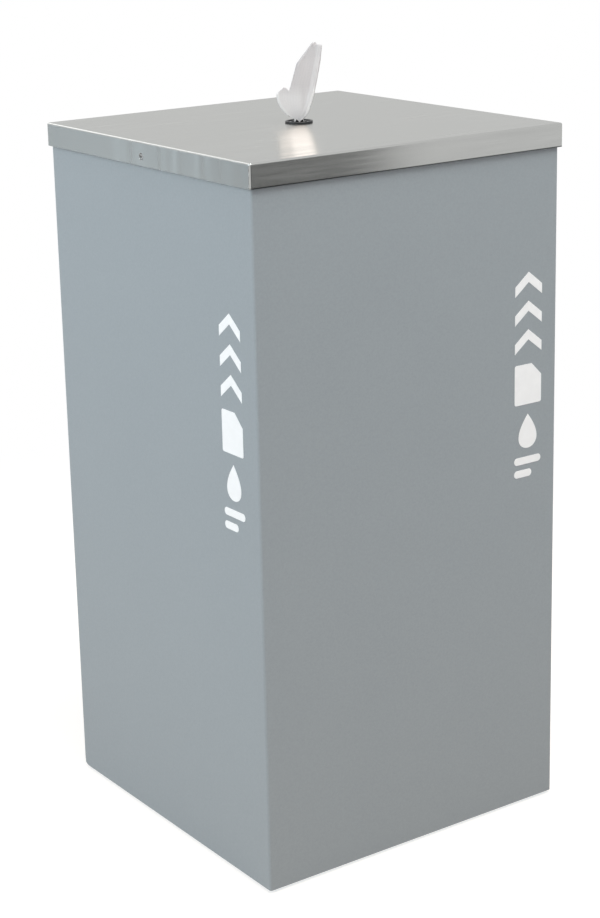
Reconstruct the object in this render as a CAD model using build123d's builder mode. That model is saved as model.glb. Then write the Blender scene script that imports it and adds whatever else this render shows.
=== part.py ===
from build123d import *
from math import acos, atan, cos, degrees, hypot, radians, sin, sqrt
import os

os.makedirs("parts", exist_ok=True)

# Wipes dispenser: a square cabinet of folded steel on rubber feet, a stainless lid that lifts off,
# and inside it a shelf with a pail and a centre-pull roll. One wipe stands up through the lid.
# Millimetres. The origin is on the floor under the middle of the cabinet, +Z is up, the front is -Y.

# ---------------------------------------------------------------------------------------------
# Driving dimensions
# ---------------------------------------------------------------------------------------------

# Cabinet wrapper, one folded sheet
BODY_SIDE = 254.0  # square plan, outside the walls
BODY_HEIGHT = 495.0  # bottom edge to hemmed rim
BODY_SHEET = 0.8
BODY_BEND_RADIUS = 1.8  # outside of the upright folds
HEM_HEIGHT = 12.0
HEM_CORNER_RELIEF = 8.0  # the hem stops this far short of each corner
SEAM_LAP = 8.0  # flange of the lapped seam, inside the back wall
SEAM_GROOVE = 0.4  # open line where the two ends of the sheet meet
SEAM_CORNER_RADIUS = 6.0  # the sheet's rounded bottom corners at the seam

# Base pan, welded inside the bottom of the wrapper
PAN_SHEET = 1.0
PAN_EDGE_SETBACK = 0.6  # the pan's flange ends this far above the wrapper's bottom edge
PAN_FIT = 0.1  # gap all round between the pan or shelf and the walls
PAN_BEND_RADIUS = 1.6
CORNER_CLIP_MARGIN = 2.0  # pans are clipped this much beyond the seam's flange

# Rubber feet
GROUND_GAP = 2.4  # floor to the wrapper's bottom edge
FOOT_HEIGHT = 13.0
FOOT_TOP_RADIUS = 12.5
FOOT_BOTTOM_RADIUS = 10.5
FOOT_EDGE_RADIUS = 1.5
FOOT_INSET = 26.0  # wall's outside to the foot's axis
FOOT_RECESS_DEPTH = 6.0
FOOT_RECESS_MARGIN = 0.6  # round the washer

# Machine screws and nuts of the feet and the shelf
SCREW_RADIUS = 2.0
SCREW_HEAD_RADIUS = 4.0
SCREW_HEAD_HEIGHT = 2.6
SCREW_HEAD_EDGE = 0.7
SCREW_TIP_LENGTH = 1.2  # stands out past the nut
HOLE_CLEARANCE = 0.25  # radial, round a screw in a sheet
THREAD_CLEARANCE = 0.05  # radial, stands in for the thread
RECESS_WIDTH = 0.9
RECESS_LENGTH = 4.4
RECESS_DEPTH = 1.3
WASHER_RADIUS = 4.5
WASHER_THICKNESS = 0.8
NUT_FLATS = 7.0
NUT_HEIGHT = 3.2

# Shelf and its rails
SHELF_HEIGHT = 120.0  # floor to the shelf's top face
SHELF_SHEET = 1.2
SHELF_FLANGE = 15.0
RAIL_LEG = 20.0
RAIL_SHEET = 1.2
RAIL_LENGTH = 200.0
SHELF_SCREW_SPAN = 170.0  # along Y
LUG_WIDTH = 18.0
LUG_HEIGHT = 8.0
LUG_CLEARANCE = 1.0  # shelf lug to pail

# Pail
BUCKET_HEIGHT = 238.0
BUCKET_WALL = 1.8
BUCKET_FLOOR = 2.2
BUCKET_TAPER = 9.5  # the base's radius is this much less than the top's
BUCKET_BASE_EDGE = 6.0
RIM_OVERHANG = 4.0
RIM_THICKNESS = 2.0
RIM_DEPTH = 8.0
RIB_DROP = 40.0  # rim to the stiffening rib
RIB_REACH = 3.0
RIB_THICKNESS = 2.0
EAR_RADIUS = 7.0
EAR_REACH_PAST_RIM = 6.0
EAR_HOLE_FLOOR = 3.0  # pail's wall to the blind end of the ear's hole

# Bail handle
BAIL_DROP = 22.0  # rim to the pivot
WIRE_RADIUS = 1.75
PIVOT_CLEARANCE = 0.05
PIN_END_GAP = 0.4
BAIL_EAR_GAP = 2.2  # ear to the wire's side
BAIL_PIN_BEND = 4.0
BAIL_SHOULDER_RADIUS = 66.0
GRIP_RADIUS = 5.5
GRIP_LENGTH = 90.0
GRIP_CLEARANCE = 0.05
GRIP_EDGE = 1.2
GRIP_WALL_CLEARANCE = 4.0  # grip to the cabinet's hem as it passes level
GRIP_RIM_CLEARANCE = 4.4  # grip to the pail's rim as it passes level
GRIP_REST_GAP = 0.3

# Roll of wipes, a soft piece that stands loose in the pail
WIPE_WIDTH = 152.0  # also the height of the roll
ROLL_WALL_CLEARANCE = 0.7
ROLL_CORE_RADIUS = 22.0
ROLL_REST_GAP = 0.3
ROLL_EDGE = 2.0

# Lid
LID_SHEET = 0.9
LID_GAP = 1.2  # skirt to wall
SKIRT_HEIGHT = 16.4
LID_BEND_RADIUS = 1.3
LID_CORNER_RADIUS = 1.4
GASKET_THICKNESS = 1.5
GASKET_WIDTH = 8.0
GASKET_GAP = 0.3  # between the foam and the rim, and at the strips' ends

# Grommet in the lid
GROMMET_RADIUS = 9.65
GROMMET_FLANGE = 1.4
GROMMET_EDGE = 0.5
GROMMET_BARREL_RADIUS = 7.0
GROMMET_BORE_RADIUS = 5.5
GROMMET_LENGTH = 6.0  # barrel below the lid's sheet
GROMMET_HOLE_CLEARANCE = 0.15
GROMMET_NUT_FLATS = 18.0
GROMMET_NUT_HEIGHT = 3.5
DIAPHRAGM_RADIUS = 7.5
DIAPHRAGM_THICKNESS = 0.7
DIAPHRAGM_FIT = 0.1
DIAPHRAGM_SEAT = 0.2  # seat above the lid's top face
SLIT_COUNT = 6
SLIT_WIDTH = 0.35
SLIT_MARGIN = 0.9  # slits stop this far inside the disc's rim

# Lock screws in the lid's side skirts, with a plate that each draws up behind the wall
LOCK_DROP = 10.2  # lid's top to the screws' axis
LOCK_RADIUS = 1.25
LOCK_HEAD_RADIUS = 2.35
LOCK_HEAD_SINK = 0.15
LOCK_FIT = 0.05
LOCK_SOCKET_FLATS = 1.6
LOCK_SOCKET_DEPTH = 0.8
DIMPLE_WALL = 0.9
DIMPLE_END_GAP = 0.1  # back of the dimple to the cabinet's wall
NOTCH_CLEARANCE = 0.25
LOCK_PITCH = 0.45
LOCK_TURNS = 3
PLATE_WIDTH = 12.0
PLATE_HEIGHT = 10.0
PLATE_THICKNESS = 2.0
PLATE_GAP = 0.05
TONGUE_CLEARANCE = 0.2
TONGUE_START = 2.0  # above the screw's axis
TONGUE_END_GAP = 0.2  # tongue's end to the wall's outside
STOP_RADIUS = 2.3
STOP_THICKNESS = 1.0
STOP_FIT = 0.02
STOP_GAP = 0.15  # plate at the end of its travel to the stop
LOCK_TIP = 0.3

# The wipe that stands in the slit
STRAND_RADIUS = 3.5
STRAND_FIT = 0.3  # soft piece, clear of the diaphragm all round
STRAND_END_IN_ROLL = 0.5  # the strand ends at this share of the roll's height
TAIL_THICKNESS = 5.0
TAIL_YAW = -34.38  # degrees about Z from the front wall to the tail's broad side
# Outline of the tail: (across, up from the lid's top), from its foot round by the small lobe
TAIL_OUTLINE = (
    (-2.5, 1.7),
    (-10.7, 8.8),
    (-14.8, 18.7),
    (-9.7, 24.8),
    (-6.1, 22.7),
    (-0.6, 41.2),
    (11.5, 55.4),
    (17.3, 53.5),
    (10.8, 20.9),
    (6.0, 7.0),
    (3.1, 1.7),
)

# ---------------------------------------------------------------------------------------------
# Levels and half widths that follow from them
# ---------------------------------------------------------------------------------------------

body_half = BODY_SIDE / 2
inner_half = body_half - BODY_SHEET
hem_half = inner_half - BODY_SHEET
body_top = GROUND_GAP + BODY_HEIGHT
corner_clip = SEAM_LAP + CORNER_CLIP_MARGIN

lid_underside = body_top + GASKET_GAP + GASKET_THICKNESS
lid_top = lid_underside + LID_SHEET
lid_inner_half = body_half + LID_GAP
lid_half = lid_inner_half + LID_SHEET
skirt_bottom = lid_top - SKIRT_HEIGHT
lock_z = lid_top - LOCK_DROP

pan_half = inner_half - PAN_FIT
pan_top = FOOT_HEIGHT + PAN_SHEET
pan_edge = GROUND_GAP + PAN_EDGE_SETBACK
foot_spacing = 2 * (body_half - FOOT_INSET)
shelf_underside = SHELF_HEIGHT - SHELF_SHEET

bail_reach = hem_half - GRIP_WALL_CLEARANCE - GRIP_RADIUS
rim_radius = bail_reach - GRIP_RADIUS - GRIP_RIM_CLEARANCE
bucket_top_radius = rim_radius - RIM_OVERHANG
bucket_base_radius = bucket_top_radius - BUCKET_TAPER
bucket_top = SHELF_HEIGHT + BUCKET_HEIGHT
bucket_floor_top = SHELF_HEIGHT + BUCKET_FLOOR
bucket_slope = BUCKET_TAPER / BUCKET_HEIGHT
pivot_z = bucket_top - BAIL_DROP
ear_end = rim_radius + EAR_REACH_PAST_RIM
bail_half = ear_end + BAIL_EAR_GAP + WIRE_RADIUS

roll_radius = bucket_base_radius - BUCKET_BASE_EDGE - ROLL_WALL_CLEARANCE
roll_bottom = bucket_floor_top + ROLL_REST_GAP


def bucket_radius(z):
    """Outside radius of the pail's tapered wall at height z."""
    return bucket_top_radius - bucket_slope * (bucket_top - z)


def lock_profile_plane(side):
    """Plane through a lock screw's axis: x runs outwards from the cabinet's middle, y is up."""
    return Plane(origin=(0, 0, lock_z), x_dir=(side, 0, 0), z_dir=(0, -side, 0))


def lock_face_plane(side, reach):
    """Plane square to a lock screw's axis, at reach from the middle, facing outwards, y up."""
    return Plane(origin=(side * reach, 0, lock_z), x_dir=(0, side, 0), z_dir=(side, 0, 0))


lock_axis = Axis((0, 0, lock_z), (1, 0, 0))
SIDES = ((-1, "left"), (1, "right"))

# ---------------------------------------------------------------------------------------------
# Cabinet
# ---------------------------------------------------------------------------------------------

# The hem bars and the seam's flange reach a little into the wall, so that they join it.
join = BODY_SHEET / 4

with BuildPart() as body_wrapper:
    with BuildSketch(Plane.XY.offset(GROUND_GAP)):
        RectangleRounded(BODY_SIDE, BODY_SIDE, BODY_BEND_RADIUS)
        RectangleRounded(
            2 * inner_half, 2 * inner_half, BODY_BEND_RADIUS - BODY_SHEET, mode=Mode.SUBTRACT
        )
    extrude(amount=BODY_HEIGHT)
    # Closed hem round the rim, folded inwards
    with BuildSketch(Plane.XY.offset(body_top - HEM_HEIGHT)):
        with PolarLocations(hem_half + (BODY_SHEET + join) / 2, 4):
            Rectangle(BODY_SHEET + join, BODY_SIDE - 2 * HEM_CORNER_RELIEF)
    extrude(amount=HEM_HEIGHT)
    # Flange of the lapped seam, behind the back wall at its left end
    with BuildSketch(Plane.XY.offset(GROUND_GAP)):
        with Locations((-inner_half - join, inner_half + join)):
            Rectangle(SEAM_LAP + join, BODY_SHEET + join, align=(Align.MIN, Align.MAX))
    extrude(amount=BODY_HEIGHT)
    # Open line of the seam, in the back wall's outside
    with BuildSketch(Plane.XY.offset(GROUND_GAP)):
        with Locations((-body_half + BODY_BEND_RADIUS, body_half)):
            Rectangle(SEAM_GROOVE, SEAM_GROOVE, align=(Align.MIN, Align.MAX))
    extrude(amount=BODY_HEIGHT, mode=Mode.SUBTRACT)
    # Rounded bottom corner of the sheet, in the left wall and in the back wall
    seam_corner = (-body_half, body_half, GROUND_GAP)
    left_wall = Plane(origin=seam_corner, x_dir=(0, -1, 0), z_dir=(-1, 0, 0))
    back_wall = Plane(origin=seam_corner, x_dir=(1, 0, 0), z_dir=(0, -1, 0))
    for wall_plane, inwards in ((left_wall, -1), (back_wall, 1)):
        with BuildSketch(wall_plane):
            Rectangle(SEAM_CORNER_RADIUS, SEAM_CORNER_RADIUS, align=(Align.MIN, Align.MIN))
            with Locations((SEAM_CORNER_RADIUS, SEAM_CORNER_RADIUS)):
                Circle(SEAM_CORNER_RADIUS, mode=Mode.SUBTRACT)
        extrude(amount=inwards * (body_half - hem_half), mode=Mode.SUBTRACT)
    # Open notches for the lock screws
    for side, _ in SIDES:
        with BuildSketch(lock_face_plane(side, hem_half - join)):
            Circle(LOCK_RADIUS + NOTCH_CLEARANCE)
            Rectangle(
                2 * (LOCK_RADIUS + NOTCH_CLEARANCE),
                body_top - lock_z,
                align=(Align.CENTER, Align.MIN),
            )
        extrude(amount=body_half - hem_half + 2 * join, mode=Mode.SUBTRACT)

body_wrapper.part.label = "body_wrapper"
export_step(body_wrapper.part, "parts/body_wrapper.step")

with BuildPart() as base_pan:
    with BuildSketch(Plane.XY.offset(pan_edge)) as pan_outline:
        Rectangle(2 * pan_half, 2 * pan_half)
        chamfer(pan_outline.vertices(), corner_clip)
    extrude(amount=pan_top - pan_edge)
    folds = base_pan.edges().group_by(Axis.Z)[-1].filter_by(lambda edge: edge.length > pan_half)
    fillet(folds, PAN_BEND_RADIUS)
    # Hollow from below; the square hollow runs out through the clipped corners
    with BuildSketch(Plane.XY.offset(pan_edge)):
        Rectangle(2 * (pan_half - PAN_SHEET), 2 * (pan_half - PAN_SHEET))
    extrude(amount=FOOT_HEIGHT - pan_edge, mode=Mode.SUBTRACT)
    with BuildSketch(Plane.XY.offset(FOOT_HEIGHT)):
        with GridLocations(foot_spacing, foot_spacing, 2, 2):
            Circle(SCREW_RADIUS + HOLE_CLEARANCE)
    extrude(amount=PAN_SHEET, mode=Mode.SUBTRACT)

base_pan.part.label = "base_pan"
export_step(base_pan.part, "parts/base_pan.step")

# ---------------------------------------------------------------------------------------------
# Feet
# ---------------------------------------------------------------------------------------------

recess_radius = WASHER_RADIUS + FOOT_RECESS_MARGIN
washer_bottom = FOOT_RECESS_DEPTH - WASHER_THICKNESS

for foot_x, x_name in ((-foot_spacing / 2, "left"), (foot_spacing / 2, "right")):
    for foot_y, y_name in ((-foot_spacing / 2, "front"), (foot_spacing / 2, "back")):
        with BuildPart() as foot:
            with BuildSketch(Plane(origin=(foot_x, foot_y, 0), x_dir=(1, 0, 0), z_dir=(0, -1, 0))):
                with BuildLine():
                    Polyline(
                        (recess_radius, 0),
                        (FOOT_BOTTOM_RADIUS, 0),
                        (FOOT_TOP_RADIUS, FOOT_HEIGHT),
                        (SCREW_RADIUS + HOLE_CLEARANCE, FOOT_HEIGHT),
                        (SCREW_RADIUS + HOLE_CLEARANCE, FOOT_RECESS_DEPTH),
                        (recess_radius, FOOT_RECESS_DEPTH),
                        close=True,
                    )
                make_face()
            revolve(axis=Axis((foot_x, foot_y, 0), (0, 0, 1)))
            ground_edges = foot.edges().group_by(Axis.Z)[0].sort_by(SortBy.RADIUS)
            fillet(ground_edges[-1], FOOT_EDGE_RADIUS)
        foot_name = f"foot_{y_name}_{x_name}"
        foot.part.label = foot_name
        export_step(foot.part, f"parts/{foot_name}.step")

with BuildPart() as foot_washers:
    with BuildSketch(Plane.XY.offset(washer_bottom)):
        with GridLocations(foot_spacing, foot_spacing, 2, 2):
            Circle(WASHER_RADIUS)
            Circle(SCREW_RADIUS + HOLE_CLEARANCE, mode=Mode.SUBTRACT)
    extrude(amount=WASHER_THICKNESS)

foot_washers.part.label = "foot_washers"
export_step(foot_washers.part, "parts/foot_washers.step")

with BuildPart() as foot_screws:
    with BuildSketch(Plane.XY.offset(washer_bottom)):
        with GridLocations(foot_spacing, foot_spacing, 2, 2):
            Circle(SCREW_HEAD_RADIUS)
    extrude(amount=-SCREW_HEAD_HEIGHT)
    fillet(foot_screws.edges().group_by(Axis.Z)[0], SCREW_HEAD_EDGE)
    with BuildSketch(Plane.XY.offset(washer_bottom)):
        with GridLocations(foot_spacing, foot_spacing, 2, 2):
            Circle(SCREW_RADIUS)
    extrude(amount=pan_top + NUT_HEIGHT + SCREW_TIP_LENGTH - washer_bottom)
    with BuildSketch(Plane.XY.offset(washer_bottom - SCREW_HEAD_HEIGHT)):
        with GridLocations(foot_spacing, foot_spacing, 2, 2):
            Rectangle(RECESS_LENGTH, RECESS_WIDTH)
            Rectangle(RECESS_WIDTH, RECESS_LENGTH)
    extrude(amount=RECESS_DEPTH, mode=Mode.SUBTRACT)

foot_screws.part.label = "foot_screws"
export_step(foot_screws.part, "parts/foot_screws.step")

with BuildPart() as foot_nuts:
    with BuildSketch(Plane.XY.offset(pan_top)):
        with GridLocations(foot_spacing, foot_spacing, 2, 2):
            RegularPolygon(NUT_FLATS / 2, 6, major_radius=False)
            Circle(SCREW_RADIUS + THREAD_CLEARANCE, mode=Mode.SUBTRACT)
    extrude(amount=NUT_HEIGHT)

foot_nuts.part.label = "foot_nuts"
export_step(foot_nuts.part, "parts/foot_nuts.step")

# ---------------------------------------------------------------------------------------------
# Shelf on its rails
# ---------------------------------------------------------------------------------------------

rail_axis_x = pan_half - RAIL_LEG / 2

for side, side_name in SIDES:
    with BuildPart() as shelf_rail:
        rail_plane = Plane(
            origin=(side * pan_half, RAIL_LENGTH / 2, shelf_underside),
            x_dir=(-side, 0, 0),
            z_dir=(0, side, 0),
        )
        with BuildSketch(rail_plane):
            with BuildLine():
                Polyline(
                    (0, 0),
                    (RAIL_LEG, 0),
                    (RAIL_LEG, -RAIL_SHEET),
                    (RAIL_SHEET, -RAIL_SHEET),
                    (RAIL_SHEET, -RAIL_LEG),
                    (0, -RAIL_LEG),
                    close=True,
                )
            make_face()
        extrude(amount=-side * RAIL_LENGTH)
        with BuildSketch(Plane.XY.offset(shelf_underside - RAIL_SHEET)):
            with Locations(
                (side * rail_axis_x, -SHELF_SCREW_SPAN / 2), (side * rail_axis_x, SHELF_SCREW_SPAN / 2)
            ):
                Circle(SCREW_RADIUS + HOLE_CLEARANCE)
        extrude(amount=RAIL_SHEET, mode=Mode.SUBTRACT)
    shelf_rail.part.label = f"shelf_rail_{side_name}"
    export_step(shelf_rail.part, f"parts/shelf_rail_{side_name}.step")

lug_inner = bucket_base_radius + bucket_slope * LUG_HEIGHT + LUG_CLEARANCE

with BuildPart() as bucket_shelf:
    with BuildSketch(Plane.XY.offset(shelf_underside)) as shelf_plate:
        Rectangle(2 * pan_half, 2 * pan_half)
        chamfer(shelf_plate.vertices(), corner_clip)
    extrude(amount=SHELF_SHEET)
    with BuildSketch(Plane.XY.offset(SHELF_HEIGHT - SHELF_FLANGE)):
        with GridLocations(0, 2 * pan_half - SHELF_SHEET, 1, 2):
            Rectangle(2 * (pan_half - RAIL_LEG - corner_clip), SHELF_SHEET)
    extrude(amount=SHELF_FLANGE)
    # Lugs turned up round the pail's base, and the screw holes
    with BuildSketch(Plane.XY.offset(SHELF_HEIGHT)):
        with PolarLocations(lug_inner + SHELF_SHEET / 2, 4):
            Rectangle(SHELF_SHEET, LUG_WIDTH)
    extrude(amount=LUG_HEIGHT)
    with BuildSketch(Plane.XY.offset(shelf_underside)):
        with GridLocations(2 * rail_axis_x, SHELF_SCREW_SPAN, 2, 2):
            Circle(SCREW_RADIUS + HOLE_CLEARANCE)
    extrude(amount=SHELF_SHEET, mode=Mode.SUBTRACT)

bucket_shelf.part.label = "bucket_shelf"
export_step(bucket_shelf.part, "parts/bucket_shelf.step")

shelf_nut_top = shelf_underside - RAIL_SHEET

with BuildPart() as shelf_screws:
    with BuildSketch(Plane.XY.offset(SHELF_HEIGHT)):
        with GridLocations(2 * rail_axis_x, SHELF_SCREW_SPAN, 2, 2):
            Circle(SCREW_HEAD_RADIUS)
    extrude(amount=SCREW_HEAD_HEIGHT)
    fillet(shelf_screws.edges().group_by(Axis.Z)[-1], SCREW_HEAD_EDGE)
    with BuildSketch(Plane.XY.offset(SHELF_HEIGHT)):
        with GridLocations(2 * rail_axis_x, SHELF_SCREW_SPAN, 2, 2):
            Circle(SCREW_RADIUS)
    extrude(amount=shelf_nut_top - NUT_HEIGHT - SCREW_TIP_LENGTH - SHELF_HEIGHT)
    with BuildSketch(Plane.XY.offset(SHELF_HEIGHT + SCREW_HEAD_HEIGHT)):
        with GridLocations(2 * rail_axis_x, SHELF_SCREW_SPAN, 2, 2):
            Rectangle(RECESS_LENGTH, RECESS_WIDTH)
            Rectangle(RECESS_WIDTH, RECESS_LENGTH)
    extrude(amount=-RECESS_DEPTH, mode=Mode.SUBTRACT)

shelf_screws.part.label = "shelf_screws"
export_step(shelf_screws.part, "parts/shelf_screws.step")

with BuildPart() as shelf_nuts:
    with BuildSketch(Plane.XY.offset(shelf_nut_top)):
        with GridLocations(2 * rail_axis_x, SHELF_SCREW_SPAN, 2, 2):
            RegularPolygon(NUT_FLATS / 2, 6, major_radius=False)
            Circle(SCREW_RADIUS + THREAD_CLEARANCE, mode=Mode.SUBTRACT)
    extrude(amount=-NUT_HEIGHT)

shelf_nuts.part.label = "shelf_nuts"
export_step(shelf_nuts.part, "parts/shelf_nuts.step")

# ---------------------------------------------------------------------------------------------
# Pail, its handle and the roll
# ---------------------------------------------------------------------------------------------

rib_top = bucket_top - RIB_DROP
rib_bottom = rib_top - RIB_THICKNESS
ear_hole_radius = WIRE_RADIUS + PIVOT_CLEARANCE

with BuildPart() as bucket:
    with BuildSketch(Plane.XZ):
        with BuildLine():
            Polyline(
                (0, SHELF_HEIGHT),
                (bucket_base_radius, SHELF_HEIGHT),
                (bucket_radius(rib_bottom), rib_bottom),
                (bucket_radius(rib_bottom) + RIB_REACH, rib_bottom),
                (bucket_radius(rib_bottom) + RIB_REACH, rib_top),
                (bucket_radius(rib_top), rib_top),
                (bucket_radius(bucket_top - RIM_THICKNESS), bucket_top - RIM_THICKNESS),
                (rim_radius - BUCKET_WALL, bucket_top - RIM_THICKNESS),
                (rim_radius - BUCKET_WALL, bucket_top - RIM_DEPTH),
                (rim_radius, bucket_top - RIM_DEPTH),
                (rim_radius, bucket_top),
                (bucket_top_radius - BUCKET_WALL, bucket_top),
                (bucket_base_radius - BUCKET_WALL, bucket_floor_top),
                (0, bucket_floor_top),
                close=True,
            )
        make_face()
    revolve(axis=Axis.Z)
    rings = bucket.edges().filter_by(GeomType.CIRCLE).sort_by(Axis.Z)
    fillet(rings[0], BUCKET_BASE_EDGE)
    floor_ring = rings.filter_by_position(
        Axis.Z, bucket_floor_top - BUCKET_FLOOR / 2, bucket_floor_top + BUCKET_FLOOR / 2
    )
    fillet(floor_ring, BUCKET_BASE_EDGE - BUCKET_WALL)
    for side, _ in SIDES:
        ear_plane = Plane(origin=(side * ear_end, 0, pivot_z), x_dir=(0, side, 0), z_dir=(side, 0, 0))
        with BuildSketch(ear_plane):
            Circle(EAR_RADIUS)
        extrude(amount=-(ear_end - bucket_radius(pivot_z) + BUCKET_WALL / 2))
        with BuildSketch(ear_plane):
            Circle(ear_hole_radius)
        extrude(amount=-(ear_end - bucket_radius(pivot_z) - EAR_HOLE_FLOOR), mode=Mode.SUBTRACT)

bucket.part.label = "bucket"
export_step(bucket.part, "parts/bucket.step")

# At rest the bail lies round the front of the pail with its grip against the wall. In the plane
# x = 0 the grip's centre is bail_reach from the pivot, and square to the sloping wall it is the
# grip's radius and a small gap away, which gives the angle below level.
wall_cosine = 1 / hypot(1, bucket_slope)
grip_stand_off = bucket_radius(pivot_z) + (GRIP_RADIUS + GRIP_REST_GAP) / wall_cosine
rest_angle = atan(bucket_slope) + acos(grip_stand_off / (bail_reach * sqrt(1 + bucket_slope**2)))
bail_plane = Plane(
    origin=(0, 0, pivot_z), x_dir=(1, 0, 0), z_dir=(0, sin(rest_angle), -cos(rest_angle))
)
grip_y = -bail_reach * cos(rest_angle)
grip_z = pivot_z - bail_reach * sin(rest_angle)
pin_end = bucket_radius(pivot_z) + EAR_HOLE_FLOOR + PIN_END_GAP

with BuildPart() as bail_wire:
    with BuildLine(bail_plane) as bail_path:
        FilletPolyline(
            (-pin_end, 0),
            (-bail_half, 0),
            (-bail_half, bail_reach),
            (bail_half, bail_reach),
            (bail_half, 0),
            (pin_end, 0),
            radius=[BAIL_PIN_BEND, BAIL_SHOULDER_RADIUS, BAIL_SHOULDER_RADIUS, BAIL_PIN_BEND],
        )
    with BuildSketch(Plane(origin=bail_path.line @ 0, z_dir=bail_path.line % 0)):
        Circle(WIRE_RADIUS)
    sweep(path=bail_path.line)

bail_wire.part.label = "bail_wire"
export_step(bail_wire.part, "parts/bail_wire.step")

with BuildPart() as bail_grip:
    with BuildSketch(Plane(origin=(-GRIP_LENGTH / 2, grip_y, grip_z), z_dir=(1, 0, 0))):
        Circle(GRIP_RADIUS)
    extrude(amount=GRIP_LENGTH)
    fillet(bail_grip.edges().filter_by(GeomType.CIRCLE), GRIP_EDGE)
    with BuildSketch(Plane(origin=(-GRIP_LENGTH / 2, grip_y, grip_z), z_dir=(1, 0, 0))):
        Circle(WIRE_RADIUS + GRIP_CLEARANCE)
    extrude(amount=GRIP_LENGTH, mode=Mode.SUBTRACT)

bail_grip.part.label = "bail_grip"
export_step(bail_grip.part, "parts/bail_grip.step")

with BuildPart() as wipes_roll:
    with BuildSketch(Plane.XY.offset(roll_bottom)):
        Circle(roll_radius)
    extrude(amount=WIPE_WIDTH)
    fillet(wipes_roll.edges().filter_by(GeomType.CIRCLE), ROLL_EDGE)
    with BuildSketch(Plane.XY.offset(roll_bottom)):
        Circle(ROLL_CORE_RADIUS)
    extrude(amount=WIPE_WIDTH, mode=Mode.SUBTRACT)

wipes_roll.part.label = "wipes_roll"
export_step(wipes_roll.part, "parts/wipes_roll.step")

# ---------------------------------------------------------------------------------------------
# Lid
# ---------------------------------------------------------------------------------------------

# Countersink of the dimples: its radius falls by one for each unit of depth, down to the hole.
hole_radius = LOCK_RADIUS + LOCK_FIT
sink_radius = LOCK_HEAD_RADIUS + LOCK_HEAD_SINK + LOCK_FIT
sink_depth = sink_radius - hole_radius
dimple_end = body_half + DIMPLE_END_GAP
dimple_depth = lid_inner_half - dimple_end

with BuildPart() as lid_pan:
    with BuildSketch(Plane.XY.offset(skirt_bottom)):
        RectangleRounded(2 * lid_half, 2 * lid_half, LID_CORNER_RADIUS)
    extrude(amount=SKIRT_HEIGHT)
    fillet(lid_pan.edges().group_by(Axis.Z)[-1], LID_BEND_RADIUS)
    with BuildSketch(Plane.XY.offset(skirt_bottom)):
        RectangleRounded(2 * lid_inner_half, 2 * lid_inner_half, LID_CORNER_RADIUS - LID_SHEET)
    extrude(amount=SKIRT_HEIGHT - LID_SHEET, mode=Mode.SUBTRACT)
    with BuildSketch(Plane.XY.offset(lid_underside)):
        Circle(GROMMET_BARREL_RADIUS + GROMMET_HOLE_CLEARANCE)
    extrude(amount=LID_SHEET, mode=Mode.SUBTRACT)
    # Pressed dimples that take the heads of the lock screws
    for side, _ in SIDES:
        with BuildSketch(lock_profile_plane(side)):
            with BuildLine():
                Polyline(
                    (dimple_end, 0),
                    (lid_half - LID_SHEET / 2, 0),
                    (lid_half - LID_SHEET / 2, sink_radius + DIMPLE_WALL),
                    (lid_inner_half, sink_radius + DIMPLE_WALL),
                    (dimple_end, sink_radius + DIMPLE_WALL - dimple_depth),
                    close=True,
                )
            make_face()
        revolve(axis=lock_axis)
        with BuildSketch(lock_profile_plane(side)):
            with BuildLine():
                Polyline(
                    (dimple_end, 0),
                    (lid_half, 0),
                    (lid_half, sink_radius),
                    (lid_half - sink_depth, hole_radius),
                    (dimple_end, hole_radius),
                    close=True,
                )
            make_face()
        revolve(axis=lock_axis, mode=Mode.SUBTRACT)

lid_pan.part.label = "lid_pan"
export_step(lid_pan.part, "parts/lid_pan.step")

strip_outer = lid_inner_half - GASKET_GAP
strip_inner = strip_outer - GASKET_WIDTH

with BuildPart() as lid_gasket:
    with BuildSketch(Plane.XY.offset(lid_underside)):
        with GridLocations(0, 2 * strip_outer - GASKET_WIDTH, 1, 2):
            Rectangle(2 * strip_outer, GASKET_WIDTH)
        with GridLocations(2 * strip_outer - GASKET_WIDTH, 0, 2, 1):
            Rectangle(GASKET_WIDTH, 2 * (strip_inner - GASKET_GAP))
    extrude(amount=-GASKET_THICKNESS)

lid_gasket.part.label = "lid_gasket"
export_step(lid_gasket.part, "parts/lid_gasket.step")

diaphragm_bottom = lid_top + DIAPHRAGM_SEAT
grommet_bottom = lid_underside - GROMMET_LENGTH

with BuildPart() as grommet:
    with BuildSketch(Plane.XZ):
        with BuildLine():
            Polyline(
                (GROMMET_BORE_RADIUS, grommet_bottom),
                (GROMMET_BARREL_RADIUS, grommet_bottom),
                (GROMMET_BARREL_RADIUS, lid_top),
                (GROMMET_RADIUS, lid_top),
                (GROMMET_RADIUS, lid_top + GROMMET_FLANGE),
                (DIAPHRAGM_RADIUS + DIAPHRAGM_FIT, lid_top + GROMMET_FLANGE),
                (DIAPHRAGM_RADIUS + DIAPHRAGM_FIT, diaphragm_bottom),
                (GROMMET_BORE_RADIUS, diaphragm_bottom),
                close=True,
            )
        make_face()
    revolve(axis=Axis.Z)
    fillet(grommet.edges().group_by(Axis.Z)[-1], GROMMET_EDGE)

grommet.part.label = "grommet"
export_step(grommet.part, "parts/grommet.step")

with BuildPart() as grommet_nut:
    with BuildSketch(Plane.XY.offset(lid_underside)):
        RegularPolygon(GROMMET_NUT_FLATS / 2, 6, major_radius=False)
        Circle(GROMMET_BARREL_RADIUS + THREAD_CLEARANCE, mode=Mode.SUBTRACT)
    extrude(amount=-GROMMET_NUT_HEIGHT)

grommet_nut.part.label = "grommet_nut"
export_step(grommet_nut.part, "parts/grommet_nut.step")

mouth_radius = STRAND_RADIUS + STRAND_FIT
slit_end = DIAPHRAGM_RADIUS - SLIT_MARGIN

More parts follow.
